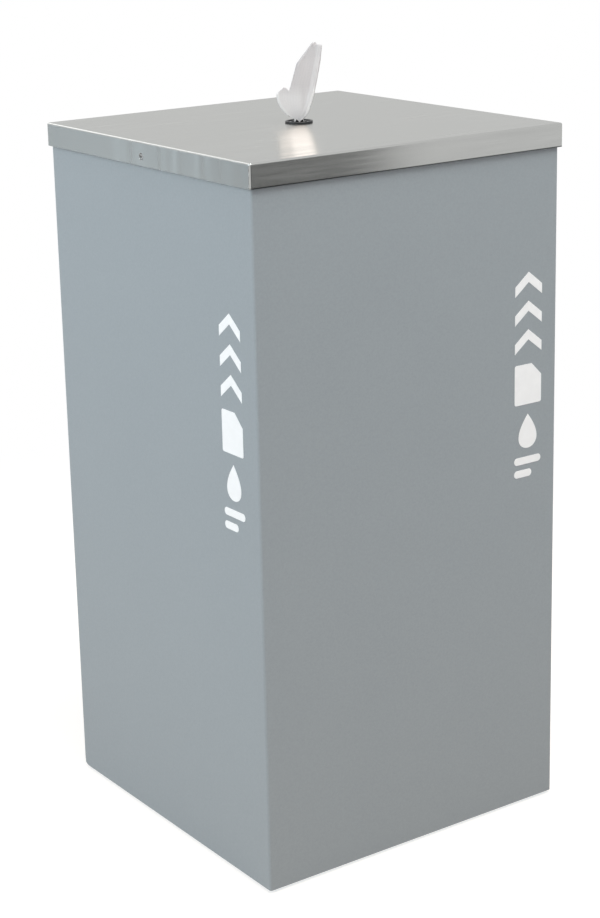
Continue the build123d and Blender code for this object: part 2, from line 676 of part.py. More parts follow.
with BuildPart() as slit_diaphragm:
    with BuildSketch(Plane.XY.offset(diaphragm_bottom)):
        Circle(DIAPHRAGM_RADIUS)
        Circle(mouth_radius, mode=Mode.SUBTRACT)
        with PolarLocations(slit_end / 2, SLIT_COUNT):
            Rectangle(slit_end, SLIT_WIDTH, mode=Mode.SUBTRACT)
    extrude(amount=DIAPHRAGM_THICKNESS)

slit_diaphragm.part.label = "slit_diaphragm"
export_step(slit_diaphragm.part, "parts/slit_diaphragm.step")

# ---------------------------------------------------------------------------------------------
# Lock screws
# ---------------------------------------------------------------------------------------------

lock_travel = LOCK_PITCH * LOCK_TURNS
head_face = lid_half - LOCK_HEAD_SINK
head_back = head_face - (LOCK_HEAD_RADIUS - LOCK_RADIUS)
plate_face = hem_half - PLATE_GAP
plate_back = plate_face - PLATE_THICKNESS
stop_face = plate_back - lock_travel - STOP_GAP
stop_back = stop_face - STOP_THICKNESS
lock_tip = stop_back - LOCK_TIP
tongue_length = body_half - TONGUE_END_GAP - plate_face
tongue_height = PLATE_HEIGHT / 2 - TONGUE_START

for side, side_name in SIDES:
    with BuildPart() as lock_screw:
        with BuildSketch(lock_profile_plane(side)):
            with BuildLine():
                Polyline(
                    (lock_tip, 0),
                    (head_face, 0),
                    (head_face, LOCK_HEAD_RADIUS),
                    (head_back, LOCK_RADIUS),
                    (lock_tip, LOCK_RADIUS),
                    close=True,
                )
            make_face()
        revolve(axis=lock_axis)
        with BuildSketch(lock_face_plane(side, head_face)):
            RegularPolygon(LOCK_SOCKET_FLATS / 2, 6, major_radius=False)
        extrude(amount=-LOCK_SOCKET_DEPTH, mode=Mode.SUBTRACT)
    lock_screw.part.label = f"lock_screw_{side_name}"
    export_step(lock_screw.part, f"parts/lock_screw_{side_name}.step")

    with BuildPart() as lock_stop:
        with BuildSketch(lock_face_plane(side, stop_back)):
            Circle(STOP_RADIUS)
            Circle(LOCK_RADIUS + STOP_FIT, mode=Mode.SUBTRACT)
        extrude(amount=STOP_THICKNESS)
    lock_stop.part.label = f"lock_stop_{side_name}"
    export_step(lock_stop.part, f"parts/lock_stop_{side_name}.step")

    with BuildPart() as clamp_plate:
        with BuildSketch(lock_face_plane(side, plate_back)):
            Rectangle(PLATE_WIDTH, PLATE_HEIGHT)
            Circle(LOCK_RADIUS + THREAD_CLEARANCE, mode=Mode.SUBTRACT)
        extrude(amount=PLATE_THICKNESS)
        # Tongue that rides in the notch and keeps the plate from turning with the screw
        with BuildSketch(lock_face_plane(side, plate_face)):
            with Locations((0, TONGUE_START)):
                Rectangle(
                    2 * (LOCK_RADIUS + NOTCH_CLEARANCE - TONGUE_CLEARANCE),
                    tongue_height,
                    align=(Align.CENTER, Align.MIN),
                )
        extrude(amount=tongue_length)
    clamp_plate.part.label = f"clamp_plate_{side_name}"
    export_step(clamp_plate.part, f"parts/clamp_plate_{side_name}.step")

# ---------------------------------------------------------------------------------------------
# Wipe: the gathered strand out of the roll's core, and the tail above the lid
# ---------------------------------------------------------------------------------------------

strand_bottom = roll_bottom + STRAND_END_IN_ROLL * WIPE_WIDTH
tail_foot = TAIL_OUTLINE[0][1]
tail_across = Vector(cos(radians(TAIL_YAW)), sin(radians(TAIL_YAW)), 0)
tail_normal = Vector(sin(radians(TAIL_YAW)), -cos(radians(TAIL_YAW)), 0)
tail_plane = Plane(origin=(0, 0, lid_top), x_dir=tail_across, z_dir=tail_normal)

with BuildPart() as wipe:
    with BuildSketch(tail_plane):
        with BuildLine():
            Polyline(*TAIL_OUTLINE, close=True)
        make_face()
    extrude(amount=TAIL_THICKNESS / 2, both=True)
    with BuildSketch(Plane.XY.offset(strand_bottom)):
        Circle(STRAND_RADIUS)
    extrude(amount=lid_top + 2 * tail_foot - strand_bottom)

wipe.part.label = "wipe"
export_step(wipe.part, "parts/wipe.step")

# What the joints' places and ranges are worked out from
print("lid top", lid_top, "lid half", lid_half, "lock z", lock_z, "lock travel", lock_travel)
print("bail rest angle", degrees(rest_angle), "pivot z", pivot_z, "grip", grip_y, grip_z)
print("bail reach", bail_reach, "bail half", bail_half, "rim radius", rim_radius)
print("pail top", bucket_top, "roll", roll_bottom, roll_radius, "strand from", strand_bottom)
print("sink radius", sink_radius, "dimple end", dimple_end, "lock tip", lock_tip)
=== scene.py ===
# %% [markdown]
# # A square wipes dispenser, dressed for its picture
#
# The cabinet, its lid and everything inside come ready-made, at their real size, in metres. This lesson
# gives each of them its real finish, and makes the three things that are not hard parts: the wipe that
# stands in the lid, the roll it comes from, and the white film on the walls. The front wall faces -Y.

# %% Load the frame
import math

import bpy
import numpy as np
from mathutils import Matrix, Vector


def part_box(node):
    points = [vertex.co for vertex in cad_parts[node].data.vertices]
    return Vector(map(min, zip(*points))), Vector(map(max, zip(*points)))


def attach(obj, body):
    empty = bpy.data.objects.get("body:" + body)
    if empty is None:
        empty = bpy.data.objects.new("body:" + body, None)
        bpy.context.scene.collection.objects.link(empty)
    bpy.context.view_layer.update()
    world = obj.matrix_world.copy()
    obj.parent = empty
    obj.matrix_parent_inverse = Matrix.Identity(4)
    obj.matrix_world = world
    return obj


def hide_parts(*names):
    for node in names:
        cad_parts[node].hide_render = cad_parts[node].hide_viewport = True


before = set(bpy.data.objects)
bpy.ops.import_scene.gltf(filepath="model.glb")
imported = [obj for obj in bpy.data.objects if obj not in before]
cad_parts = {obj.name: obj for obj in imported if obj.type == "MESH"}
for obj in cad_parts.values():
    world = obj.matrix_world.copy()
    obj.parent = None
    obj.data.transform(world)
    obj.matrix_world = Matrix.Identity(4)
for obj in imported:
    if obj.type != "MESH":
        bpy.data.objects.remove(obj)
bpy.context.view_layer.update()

# %% [markdown]
# ## Levels to build on
#
# New pieces take their places from the boxes of the pieces that carry them, so they follow if a size
# changes. A millimetre is named, because small sizes read best in millimetres.

# %% Levels
MM = 0.001
wall_low, wall_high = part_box("body_wrapper")
lid_low, lid_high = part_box("lid_pan")
body_half = wall_high.x
wall_bottom = wall_low.z
lid_top = lid_high.z
TAIL_YAW = math.radians(-34.4)  # the wipe's broad side faces the near corner
print("walls", round(2 * body_half / MM), "mm wide, lid top at", round(lid_top / MM, 1), "mm")

# %% [markdown]
# ## Camera
#
# A long lens from a little above the lid, turned so that the left wall and the front wall both show.
# The camera is pitched down, and rolled by about a degree, as a hand-levelled tripod is. The frame is
# trimmed off its middle, which a small lens shift stands for.

# %% Camera
CAMERA_PLACE = np.array([-0.8286, -1.1743, 0.6955])
CAMERA_HEADING = math.radians(55.51)  # from +X towards +Y
CAMERA_PITCH = math.radians(15.55)  # downwards
CAMERA_ROLL = math.radians(1.43)
SENSOR_MM = 36.0
LONG_SIDE_PX = 918
FOCAL_PX = 2060.8
LENS_AXIS_PX = (-19.7, 53.4)  # of the lens axis, to the right and up from the frame's middle


def camera_axes(heading, pitch, roll):
    """Columns right, up and back: the level view turned by heading, tipped by pitch, then rolled."""
    forward = np.array(
        [math.cos(pitch) * math.cos(heading), math.cos(pitch) * math.sin(heading), -math.sin(pitch)]
    )
    level_right = np.array([math.sin(heading), -math.cos(heading), 0.0])
    level_up = np.cross(level_right, forward)
    right = level_right * math.cos(roll) - level_up * math.sin(roll)
    return right, np.cross(right, forward), -forward


camera_data = bpy.data.cameras.new("camera")
camera_data.sensor_width = SENSOR_MM
camera_data.lens = FOCAL_PX / LONG_SIDE_PX * SENSOR_MM
camera_data.shift_x = -LENS_AXIS_PX[0] / LONG_SIDE_PX
camera_data.shift_y = -LENS_AXIS_PX[1] / LONG_SIDE_PX
camera = bpy.data.objects.new("camera", camera_data)
bpy.context.scene.collection.objects.link(camera)
camera_matrix = np.eye(4)
camera_matrix[:3, :3] = np.column_stack(camera_axes(CAMERA_HEADING, CAMERA_PITCH, CAMERA_ROLL))
camera_matrix[:3, 3] = CAMERA_PLACE
camera.matrix_world = Matrix(camera_matrix.tolist())
bpy.context.scene.camera = camera
print("lens", round(camera_data.lens, 1), "mm")

# %% [markdown]
# ## Helpers for finishes
#
# Every finish is a node tree round one Principled shader. Colours are written as sRGB hex, as they look
# on a screen, and one function turns them to the linear values that the shader wants. One function adds
# a node, sets its sockets and links it, so that a finish reads from top to bottom.

# %% Helpers for finishes


def linear(hex_colour):
    """Linear red, green, blue and alpha 1 of an sRGB hex colour such as "98a0a5"."""
    channels = [int(hex_colour[k : k + 2], 16) / 255 for k in (0, 2, 4)]
    return [c / 12.92 if c <= 0.04045 else ((c + 0.055) / 1.055) ** 2.4 for c in channels] + [1.0]


def add(tree, kind, values=None, links=None, **settings):
    """A new node of that kind, with its settings, its sockets' values and the links into it."""
    node = tree.nodes.new("ShaderNode" + kind)
    for name, value in settings.items():
        setattr(node, name, value)
    for socket, value in (values or {}).items():
        node.inputs[socket].default_value = value
    for socket, source in (links or {}).items():
        tree.links.new(source, node.inputs[socket])
    return node


def finish(name, **values):
    """A new material with one Principled shader, its tree and the shader. Values name its sockets."""
    material = bpy.data.materials.new(name)
    material.use_nodes = True
    tree = material.node_tree
    shader = tree.nodes["Principled BSDF"]
    for socket, value in values.items():
        shader.inputs[socket.replace("_", " ")].default_value = value
    return material, tree, shader


def ramp_between(tree, factor, low, high, low_colour, high_colour):
    """A colour that goes from low_colour to high_colour while factor goes from low to high."""
    node = add(tree, "ValToRGB", links={"Fac": factor})
    ends = node.color_ramp.elements
    ends[0].position, ends[0].color = low, linear(low_colour)
    ends[1].position, ends[1].color = high, linear(high_colour)
    return node.outputs["Color"]


def mixed_colour(tree, blend, first, second):
    """Two colours blended all the way, such as multiplied."""
    return add(
        tree, "Mix", {0: 1.0}, {6: first, 7: second}, data_type="RGBA", blend_type=blend
    ).outputs[2]


def spread(tree, factor, low, high, start=0.0, end=1.0):
    """Maps a pattern that runs from start to end onto low to high."""
    values = {"From Min": start, "From Max": end, "To Min": low, "To Max": high}
    return add(tree, "MapRange", values, {"Value": factor}).outputs["Result"]


def bump(tree, shader, height, depth_mm, strength=1.0):
    """Links a height pattern into the shader's normal, depth_mm deep."""
    node = add(
        tree, "Bump", {"Distance": depth_mm * MM, "Strength": strength}, {"Height": height}
    )
    tree.links.new(node.outputs["Normal"], shader.inputs["Normal"])
    return node


def noise(tree, vector, size_mm, detail=2.0, roughness=0.5):
    """A noise whose features are about size_mm across."""
    return add(
        tree,
        "TexNoise",
        {"Scale": 1 / (size_mm * MM), "Detail": detail, "Roughness": roughness},
        {"Vector": vector},
    ).outputs["Fac"]


def grain(tree, vector, length_mm, width_mm, roughness=0.5):
    """A noise drawn out along X: features length_mm long and width_mm wide."""
    stretch = (1 / (length_mm * MM), 1 / (width_mm * MM), 0.0)
    stretched = add(tree, "VectorMath", {1: stretch}, {0: vector}, operation="MULTIPLY")
    return noise(tree, stretched.outputs[0], 1 / MM, roughness=roughness)


def dress(material, *nodes):
    """Gives the frame's own pieces a finish."""
    for name in nodes:
        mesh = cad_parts[name].data
        mesh.materials.clear()
        mesh.materials.append(material)
    print(material.name, "on", ", ".join(nodes))


# %% [markdown]
# ## Powder coat
#
# The cabinet is sheet steel sprayed with a grey-blue polyester powder and baked. Baked powder flows into
# a skin with a faint orange peel about 2 mm from crest to crest, and the pigment shows as a very fine
# speckle. A real grain is about 0.3 mm. It is drawn at 1.5 mm, the finest that a picture of this size
# can carry. The coat is satin: a dielectric with a broad, soft gloss.

# %% Powder coat
PEEL_MM = 2.2
SPECKLE_MM = 1.5
CLOUD_MM = 60.0
powder, tree, shader = finish("powder_coated_steel", Roughness=0.52, IOR=1.5)
place = add(tree, "TexCoord").outputs["Object"]
speckle = noise(tree, place, SPECKLE_MM, detail=3.0, roughness=0.75)
clouds = noise(tree, place, CLOUD_MM, detail=1.0)
mixed = add(
    tree, "Math", {1: 0.12}, {0: clouds, 2: speckle}, operation="MULTIPLY_ADD"
).outputs[0]
tree.links.new(
    ramp_between(tree, mixed, 0.25, 0.87, "949b9f", "9ea5a8"), shader.inputs["Base Color"]
)
bump(tree, shader, noise(tree, place, PEEL_MM, detail=1.0), 0.02, 0.5)
dress(powder, "body_wrapper")

# %% [markdown]
# ## Brushed stainless
#
# The lid is folded from one sheet of stainless steel that a belt has brushed from side to side, along
# its X. Brushing leaves scratches a tenth of a millimetre apart and centimetres long, so light spreads
# across them and stays narrow along them. The grain folds down with the sheet: it runs level along the
# front and back skirts, and upright on the side skirts. The shader's tangent lies across the grain, and
# the scratch pattern reads the sheet's own unfolded coordinates. Scratches are drawn 0.9 mm apart, the
# finest that shows. A thin dark line of painted shade runs along the bottom of the front and back
# skirts, where the shadow under the lid's edge begins.

# %% Brushed stainless
SCRATCH_MM = 0.9
SCRATCH_LENGTH_MM = 32.0
SHADE_LINE_MM = 0.9  # up the skirt: how high the painted shade line reaches
BAND_MM = 9.0
BAND_LENGTH_MM = 160.0
brushed, tree, shader = finish(
    "brushed_stainless_sheet", Metallic=1.0, Roughness=0.23, Anisotropic=0.8
)
# At a low angle real stainless does not turn as bright as the plain metal model says.
shader.inputs["Specular Tint"].default_value = linear("e9e9e8")
# Light spreads across the grain: along Y on the top and the sides, up and down on front and back
spread_way = add(tree, "CombineXYZ", {"Y": 1.0, "Z": 0.01}).outputs[0]
tree.links.new(spread_way, shader.inputs["Tangent"])
normal = add(tree, "NewGeometry").outputs["True Normal"]
place = add(tree, "TexCoord").outputs["Object"]
level = add(tree, "SeparateXYZ", links={"Vector": place}).outputs["Z"]
# Unfolded sheet: on a skirt, the way down counts on along the normal
unfolded = add(
    tree, "VectorMath", links={0: normal, "Scale": level}, operation="SCALE"
).outputs[0]
sheet_place = add(
    tree, "VectorMath", links={0: place, 1: unfolded}, operation="SUBTRACT"
).outputs[0]
scratches = grain(tree, sheet_place, SCRATCH_LENGTH_MM, SCRATCH_MM, roughness=0.6)
bands = grain(tree, sheet_place, BAND_LENGTH_MM, BAND_MM)
brushing = add(
    tree, "Math", {1: 0.35}, {0: scratches, 2: bands}, operation="MULTIPLY_ADD"
).outputs[0]
# Painted shade: a dark line along the bottom of the front and back skirts, where the shadow under the
# edge begins
shade_line_low = lid_low.z + SHADE_LINE_MM / 2 * MM
above_edge = spread(tree, level, 0.0, 1.0, shade_line_low, lid_low.z + SHADE_LINE_MM * MM)
facing_x = add(tree, "SeparateXYZ", links={"Vector": normal}).outputs["X"]
facing_x = add(tree, "Math", links={0: facing_x}, operation="ABSOLUTE").outputs[0]
clear_of_shade_line = add(
    tree, "Math", links={0: above_edge, 1: facing_x}, operation="MAXIMUM"
).outputs[0]
painted_shade_line = ramp_between(tree, clear_of_shade_line, 0.0, 1.0, "6c6e70", "ffffff")
plain_steel = ramp_between(tree, brushing, 0.4, 0.95, "afb0ae", "bcbdbb")
tree.links.new(
    mixed_colour(tree, "MULTIPLY", plain_steel, painted_shade_line), shader.inputs["Base Color"]
)
tree.links.new(spread(tree, brushing, 0.19, 0.275, 0.45, 0.9), shader.inputs["Roughness"])
bump(tree, shader, scratches, 0.0025, 0.45)
dress(brushed, "lid_pan")

# %% [markdown]
# ## Screws and plated steel
#
# The lock screws are turned stainless. Their heads are a little hollow, so that one side mirrors the
# dark and the other the light, and a ring of painted shade darkens the edge of each head, where the
# recess round it lies in shadow. The tool leaves rings round the axis, in truth 0.1 mm apart and drawn
# 0.8 mm apart.
#
# The pan, rails, shelf, nuts and washers are steel with bright zinc plating, which is bluish, a little
# cloudy and softer in its reflection than chrome. The bail is drawn wire with the same plating.

# %% Screws and plated steel
TOOL_RING_MM = 0.8
DISH_SLOPE = 0.14
SHADED_RIM_MM = 1.75  # outside this radius the head is painted dark, as shade
SHADED_RIM_FADE_MM = 0.3
turned, tree, shader = finish("turned_stainless", Metallic=1.0, Roughness=0.3)
place = add(tree, "TexCoord").outputs["Object"]
screw_low, screw_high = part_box("lock_screw_left")
screw_level = (screw_low.z + screw_high.z) / 2
off_axis = add(
    tree,
    "VectorMath",
    {1: (0.0, 1.0, 1.0), 2: (0.0, 0.0, -screw_level)},
    {0: place},
    operation="MULTIPLY_ADD",
).outputs[0]
radius = add(tree, "VectorMath", links={0: off_axis}, operation="LENGTH").outputs["Value"]
tool_rings = add(
    tree, "Math", {1: 2 * math.pi / (TOOL_RING_MM * MM)}, {0: radius}, operation="MULTIPLY"
).outputs[0]
tool_rings = add(tree, "Math", links={0: tool_rings}, operation="SINE").outputs[0]
tree.links.new(spread(tree, tool_rings, 0.22, 0.34, -1.0, 1.0), shader.inputs["Roughness"])
# Painted shade: the edge of each head is painted dark
painted_rim_shade = spread(tree, radius, 0.0, 1.0, SHADED_RIM_MM * MM, (SHADED_RIM_MM + SHADED_RIM_FADE_MM) * MM)
tree.links.new(ramp_between(tree, painted_rim_shade, 0.0, 1.0, "b2b3b2", "5c5e60"), shader.inputs["Base Color"])
# The heads are turned a little hollow: the height rises with the way from the axis
rise = add(tree, "Math", {1: 1 / MM}, {0: radius}, operation="MULTIPLY").outputs[0]
bump(tree, shader, rise, DISH_SLOPE)
dress(turned, "lock_screw_left", "lock_screw_right", "lock_stop_left", "lock_stop_right")

ZINC_CLOUD_MM = 14.0
zinc, tree, shader = finish("bright_zinc_plated_steel", Metallic=1.0, Roughness=0.34)
place = add(tree, "TexCoord").outputs["Object"]
clouds = noise(tree, place, ZINC_CLOUD_MM, detail=4.0, roughness=0.6)
tree.links.new(
    ramp_between(tree, clouds, 0.3, 0.7, "b9bcbe", "c9cbca"), shader.inputs["Base Color"]
)
tree.links.new(spread(tree, clouds, 0.26, 0.44), shader.inputs["Roughness"])
bump(tree, shader, noise(tree, place, 0.8, detail=2.0), 0.01, 0.3)
dress(
    zinc, "base_pan", "shelf_rail_left", "shelf_rail_right", "bucket_shelf", "shelf_screws",
    "shelf_nuts", "foot_washers", "foot_screws", "foot_nuts", "clamp_plate_left",
    "clamp_plate_right", "bail_wire",
)

# %% [markdown]
# ## Rubber, nylon and foam
#
# The feet and the star-cut disc are black rubber, moulded matt with a bloom of dust. The grommet, its
# nut and the bail's grip are black nylon, moulded against a satin tool. The gasket is closed-cell foam:
# its skin shows cells half a millimetre across.

# %% Rubber, nylon and foam
rubber, tree, shader = finish("moulded_black_rubber", Roughness=0.62, IOR=1.52)
place = add(tree, "TexCoord").outputs["Object"]
bloom = noise(tree, place, 5.0, detail=4.0, roughness=0.6)
tree.links.new(
    ramp_between(tree, bloom, 0.35, 0.75, "17181a", "212326"), shader.inputs["Base Color"]
)
bump(tree, shader, noise(tree, place, 0.5, detail=2.0), 0.02, 0.4)
dress(
    rubber, "foot_front_left", "foot_front_right", "foot_back_left", "foot_back_right",
    "slit_diaphragm",
)

nylon, tree, shader = finish("satin_black_nylon", Roughness=0.45, IOR=1.53)
shader.inputs["Specular IOR Level"].default_value = 0.35
place = add(tree, "TexCoord").outputs["Object"]
mould = noise(tree, place, 0.6, detail=3.0)
tree.links.new(
    ramp_between(tree, mould, 0.3, 0.7, "0d0e10", "141619"), shader.inputs["Base Color"]
)
tree.links.new(spread(tree, mould, 0.4, 0.55), shader.inputs["Roughness"])
bump(tree, shader, mould, 0.01, 0.3)
dress(nylon, "grommet", "grommet_nut", "bail_grip")

foam, tree, shader = finish("closed_cell_foam", Roughness=0.9, IOR=1.4)
place = add(tree, "TexCoord").outputs["Object"]
cells = add(
    tree, "TexVoronoi", {"Scale": 1 / (0.5 * MM)}, {"Vector": place}
).outputs["Distance"]
tree.links.new(
    ramp_between(tree, cells, 0.1, 0.6, "202124", "2f3034"), shader.inputs["Base Color"]
)
bump(tree, shader, cells, 0.1, 0.6)
dress(foam, "lid_gasket")

# %% [markdown]
# ## Pail
#
# The pail is injection-moulded white polyethylene. It lets a little light in, so its shadows are soft,
# and it has a waxy gloss with faint flow marks round the wall.

# %% Pail
pail, tree, shader = finish(
    "moulded_polyethylene", Roughness=0.38, IOR=1.51, Subsurface_Weight=0.15
)
shader.inputs["Subsurface Radius"].default_value = (0.004, 0.004, 0.0035)
place = add(tree, "TexCoord").outputs["Object"]
flow = noise(tree, place, 18.0, detail=2.0)
tree.links.new(
    ramp_between(tree, flow, 0.3, 0.7, "dcdedc", "e5e6e4"), shader.inputs["Base Color"]
)
tree.links.new(spread(tree, flow, 0.32, 0.46), shader.inputs["Roughness"])
bump(tree, shader, noise(tree, place, 1.2, detail=2.0), 0.02, 0.3)
dress(pail, "bucket")

# %% [markdown]
# ## Surfaces from formulas
#
# New pieces are grids: a formula gives a point for each pair of parameters, as whole arrays, and this
# helper joins neighbours into quads. Several grids may make one piece. The grid's own parameters
# become its UV map, in metres, so that a weave can follow the cloth.

# %% Surfaces from formulas


def grid_faces(rows, columns, first, wrap=False):
    """Quads that join each point of a rows by columns grid to its neighbours; wrap joins the last
    column to the first."""
    index = first + np.arange(rows * columns).reshape(rows, columns)
    right = np.roll(index, -1, axis=1)
    quads = np.stack([index[:-1], right[:-1], right[1:], index[1:]], axis=-1)
    return (quads if wrap else quads[:, :-1]).reshape(-1, 4)


def piece(name, grids, material, body, keep=None, uv=None, wrap=False):
    """A mesh object made of one or more point grids. keep masks the quads, uv is an array per point."""
    points = np.concatenate([grid.reshape(-1, 3) for grid in grids])
    firsts = np.cumsum([0] + [grid.shape[0] * grid.shape[1] for grid in grids[:-1]])
    faces = np.concatenate(
        [grid_faces(*grid.shape[:2], first, wrap) for grid, first in zip(grids, firsts)]
    )
    if keep is not None:
        faces = faces[keep]
    mesh = bpy.data.meshes.new(name)
    mesh.from_pydata(points.tolist(), [], faces.tolist())
    if uv is not None:
        layer = mesh.uv_layers.new(name="UVMap")
        corners = np.zeros(len(mesh.loops), np.int32)
        mesh.loops.foreach_get("vertex_index", corners)
        layer.data.foreach_set("uv", uv.reshape(-1, 2)[corners].astype(np.float32).ravel())
    mesh.shade_smooth()
    mesh.materials.append(material)
    made = bpy.data.objects.new(name, mesh)
    bpy.context.scene.collection.objects.link(made)
    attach(made, body)
    print(name, len(points), "points,", len(faces), "quads")
    return made


def store(made, name, values):
    """Keeps one number per point in the mesh, for its finish to read."""
    layer = made.data.attributes.new(name, "FLOAT", "POINT")
    layer.data.foreach_set("value", np.clip(values, 0, 1).astype(np.float32).ravel())


def thicken(made, thickness, offset=0.0):
    """Gives a surface its thickness, on both sides of it by default."""
    solid = made.modifiers.new("thickness", "SOLIDIFY")
    solid.thickness = thickness
    solid.offset = offset


# %% [markdown]
# ## The star-cut disc
#
# The disc under the ring is die-cut with six slits that meet in the middle, so it has six petals like
# slices of a pie. The wipe pushes their points up, and they stand round it. The wipes keep the rubber
# wet, so it is far glossier than the feet. The disc is one polar grid, turn by way in: first the way
# runs inwards along the flat disc, then it bends and runs up. A quad is left out where it lies in a slit
# or beside a petal's narrowing point. In front and behind, the petals stand upright; at the sides the
# opening wipe presses them outwards.

# %% The star-cut disc
wet_rubber, tree, shader = finish("wet_black_rubber", Roughness=0.2, IOR=1.52)
place = add(tree, "TexCoord").outputs["Object"]
bloom = noise(tree, place, 3.0, detail=3.0)
tree.links.new(
    ramp_between(tree, bloom, 0.3, 0.8, "0c0d0f", "15171a"), shader.inputs["Base Color"]
)
tree.links.new(spread(tree, bloom, 0.12, 0.3), shader.inputs["Roughness"])
bump(tree, shader, bloom, 0.02, 0.2)

PETALS = 6
SLIT_MM = 0.4
OPENING_MM = 3.5  # radius that the petals leave free for the wipe
PETAL_RISE_MM = 2.7
SIDE_PRESS_MM = 2.2  # how much further out the petals at the sides stand
SIDE_SAG_MM = 1.9  # and how much lower
SOLID_WAY, BEND_WAY = 0.2, 0.5  # where the slits start, and where the petals bend up
disc_low, disc_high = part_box("slit_diaphragm")
disc_radius = disc_high.x / MM
disc_turn = np.linspace(0, 2 * np.pi, 541)[:-1] + 0.2
way = np.linspace(0, 1, 41)[:, None]  # 0 at the rim, 1 at a petal's tip
inwards = np.clip(way / BEND_WAY, 0, 1)
upwards = np.clip((way - BEND_WAY + 0.12) / (1.12 - BEND_WAY), 0, 1) ** 1.4
beside = np.cos(disc_turn - TAIL_YAW) ** 2
disc_r = disc_radius + (OPENING_MM - disc_radius) * inwards + SIDE_PRESS_MM * beside * upwards
disc_level = (disc_low.z + disc_high.z) / 2 / MM
disc_z = disc_level + (PETAL_RISE_MM - SIDE_SAG_MM * beside) * upwards
disc_points = MM * np.stack(
    [disc_r * np.cos(disc_turn), disc_r * np.sin(disc_turn), disc_z], axis=-1
)
off_middle = np.abs((disc_turn * PETALS / (2 * np.pi)) % 1.0 - 0.5) * 2  # 1 at a slit
slit_share = SLIT_MM / (2 * np.pi * disc_r / PETALS)
narrowing = 1 - slit_share - np.clip((way - BEND_WAY) / (1 - BEND_WAY), 0, 1)
solid_quads = (off_middle < narrowing) | (way < SOLID_WAY)
star_disc = piece(
    "star_disc", [disc_points[::-1]], wet_rubber, "lid",
    keep=solid_quads[::-1][1:].reshape(-1), wrap=True,
)
thicken(star_disc, (disc_high.z - disc_low.z) * 0.8)
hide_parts("slit_diaphragm")

# %% [markdown]
# ## Non-woven cloth
#
# The wipes are spunlaced viscose: water jets tangle the fibres into a soft white sheet, with no weave
# but with faint rows about a millimetre apart where the jets ran, and fibres that lie in all
# directions. Moist cloth is a little see-through, so light comes through it from behind. The finish
# mixes a greyer shaded and a whiter lit cloth colour by a number kept in the mesh: painted light and
# shade.

# %% Non-woven cloth
JET_ROW_MM = 1.3
WAVE_SCALE_TO_ROWS = 2 * math.pi / 20  # the wave texture draws 20 / (2 pi) rows per unit of scale
cloth, tree, shader = finish(
    "spunlaced_nonwoven", Roughness=0.8, IOR=1.4, Sheen_Weight=0.3, Sheen_Roughness=0.4
)
sheet_uv = add(tree, "UVMap", uv_map="UVMap").outputs["UV"]
rows = add(
    tree,
    "TexWave",
    {"Scale": WAVE_SCALE_TO_ROWS / (JET_ROW_MM * MM), "Distortion": 1.5, "Detail": 2.0},
    {"Vector": sheet_uv},
    bands_direction="X",
).outputs["Fac"]
fibres = noise(tree, sheet_uv, 0.9, detail=4.0, roughness=0.7)
tangle = add(tree, "Math", {1: 0.18}, {0: rows, 2: fibres}, operation="MULTIPLY_ADD").outputs[0]
# Painted light and shade: a greyer shaded cloth colour and a whiter lit one, mixed by the number kept in
# the mesh
shaded_cloth = ramp_between(tree, tangle, 0.3, 0.9, "d1cccb", "dbd6d5")
lit_cloth = ramp_between(tree, tangle, 0.3, 0.9, "f4f1ef", "fdfaf8")
painted_light = add(tree, "Attribute", attribute_name="painted_light").outputs["Fac"]
shade = add(tree, "Mix", links={0: painted_light, 6: shaded_cloth, 7: lit_cloth}, data_type="RGBA").outputs[2]
tree.links.new(shade, shader.inputs["Base Color"])
bump(tree, shader, tangle, 0.06, 0.35)
light_through = add(tree, "BsdfTranslucent", {"Color": linear("e2dedd")})
both = add(
    tree,
    "MixShader",
    {"Fac": 0.3},
    {1: shader.outputs["BSDF"], 2: light_through.outputs["BSDF"]},
)
tree.links.new(both.outputs["Shader"], tree.nodes["Material Output"].inputs["Surface"])

# %% [markdown]
# ## The wipe
#
# A wipe is pulled by its middle out of the roll's core, so its whole 152 mm of width is gathered into a
# strand as thick as a pencil, pinched by the star-cut disc, and above the disc it opens into eight
# flat layers, one on the other. It could be simulated, but the folds that show are few and
# sharp, and a formula places them exactly.
#
# The sheet is one grid: the column says how far across the width, the row how far along. Across, the
# cloth snakes from right to left and back, one layer a pass, and inside the strand each layer is
# crimped by a sine so that its length is kept. The two front layers reach out into the small lobe and
# end there in a notch. The others run on to the angled tip.

# %% The wipe: outline of the tail
WIPE_WIDTH = 152 * MM
LAYERS = 8
LAYER_COLUMNS = 32
STRAND_ROWS = 56
ROWS_TO_NOTCH = 30
ROWS_TO_TIP = 30
NOTCH_SHARE = 0.346  # the lobe's share of the front layers' width, at the notch
NOTCH_HEIGHT = 22.7  # mm above the lid
PINCH_HEIGHT = 1.7  # where the disc lets go of the strand
CLOTH_MM = 0.24

strand_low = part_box("wipe")[0]
strand_depth = (lid_top - strand_low.z) / MM


def outline(heights, table):
    """Straight lines through (height, across) pairs in mm, a little rounded where they meet."""
    knots = np.array(table)
    shifts = (-0.9, -0.3, 0.3, 0.9)
    return sum(np.interp(heights + shift, knots[:, 0], knots[:, 1]) for shift in shifts) / 4


def right_edge(h):
    """The spear's right edge, in mm from the axis, at h mm above the lid."""
    return outline(
        h,
        [(PINCH_HEIGHT, 2.3), (3.0, 3.8), (7.6, 6.7), (13.6, 9.1), (20.9, 11.2), (31.5, 13.4),
         (41.6, 15.5), (53.3, 17.0), (57, 17.5)],
    )


def spear_left(h):
    """The spear's left edge; below the notch it lies hidden behind the lobe."""
    return outline(
        h, [(PINCH_HEIGHT, -2.4), (8, -5.0), (22.7, -6.4), (41.0, -1.0), (54.7, 10.1), (58, 12.8)]
    )


